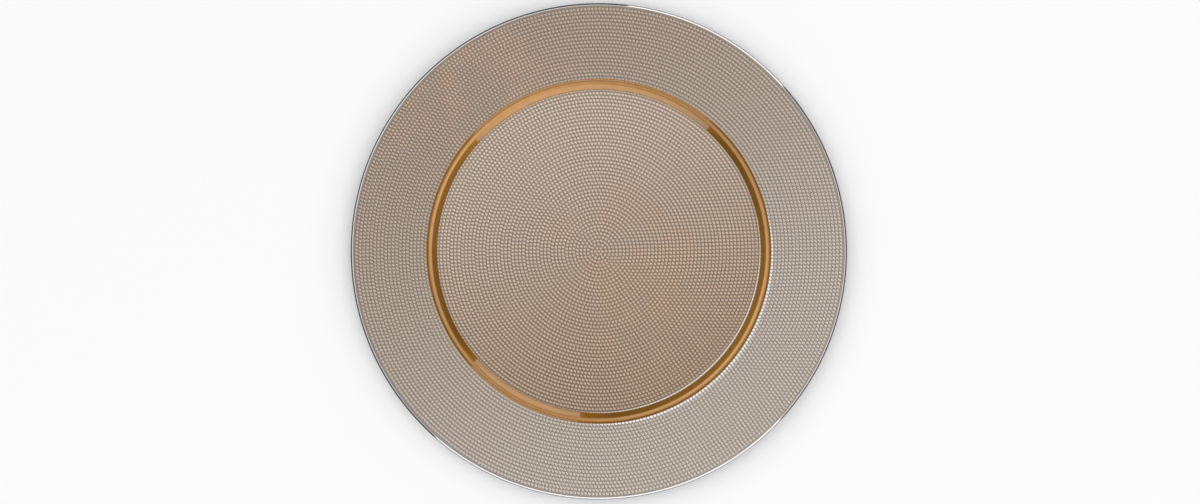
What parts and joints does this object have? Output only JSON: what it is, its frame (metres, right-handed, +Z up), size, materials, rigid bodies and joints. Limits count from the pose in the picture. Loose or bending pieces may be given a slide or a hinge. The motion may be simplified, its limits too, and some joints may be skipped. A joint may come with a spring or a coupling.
{
  "type": "charger plate",
  "caption": "Round glass charger plate with a beaded champagne metallic face, a shallow flat well, a smooth gold band on the step and a wide, gently rising rim.",
  "frame": {"origin": "centre of the flat standing face under the plate", "axes": "+Z up along the plate's axis; the plate is round, so X and Y are free, and X points right in the picture"},
  "size_m": [0.33, 0.33, 0.0108],
  "materials": {
    "clear_glass": "pressed clear glass, fire-polished edge",
    "champagne_coat": "champagne metallic lacquer, glossy",
    "gold_coat": "smooth gold, near mirror"
  },
  "bodies": {
    "root": {"glass_plate": "clear_glass", "well_coating": "champagne_coat", "gold_band": "gold_coat", "rim_coating": "champagne_coat"}
  },
  "joints": []
}
